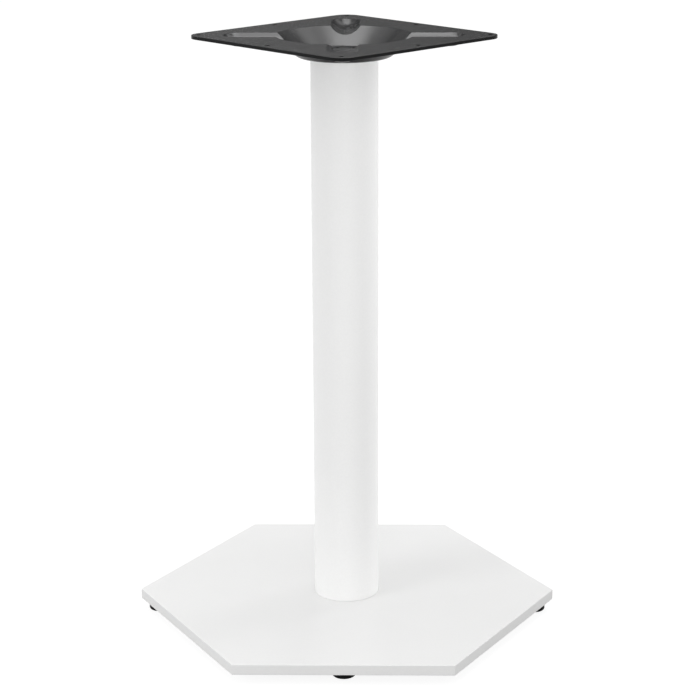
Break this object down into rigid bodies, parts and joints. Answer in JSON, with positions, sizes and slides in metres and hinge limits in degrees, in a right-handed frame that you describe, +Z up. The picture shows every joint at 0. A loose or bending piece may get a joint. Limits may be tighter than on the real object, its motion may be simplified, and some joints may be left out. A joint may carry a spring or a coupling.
{
  "type": "pedestal table base",
  "caption": "Pedestal table base: hexagonal steel foot plate on low glides, round column and a pressed square top plate with a dish, channels and screw holes for a table top.",
  "frame": {"origin": "on the floor, under the middle of the foot plate and on the column's axis", "axes": "+Z up along the column; X through two opposite corners of the hexagonal foot plate and of the square top plate; the picture looks roughly along +Y"},
  "size_m": [0.5192, 0.45, 0.725],
  "materials": {
    "white_coat": "satin white powder coat on steel",
    "black_coat": "semi-gloss black powder coat on pressed steel",
    "black_steel": "blackened steel",
    "zinc_steel": "zinc plated steel",
    "black_plastic": "moulded black plastic"
  },
  "bodies": {
    "root": {"base_plate": "white_coat", "column_tube": "white_coat", "column_foot_flange": "white_coat", "column_head_flange": "white_coat", "top_plate": "black_coat", "top_plate_screws": "black_steel", "top_plate_washers": "black_steel", "base_plate_screws": "zinc_steel", "glide_screws": "zinc_steel", "glide_left": "black_plastic", "glide_right": "black_plastic", "glide_front": "black_plastic", "glide_back": "black_plastic"}
  },
  "joints": []
}
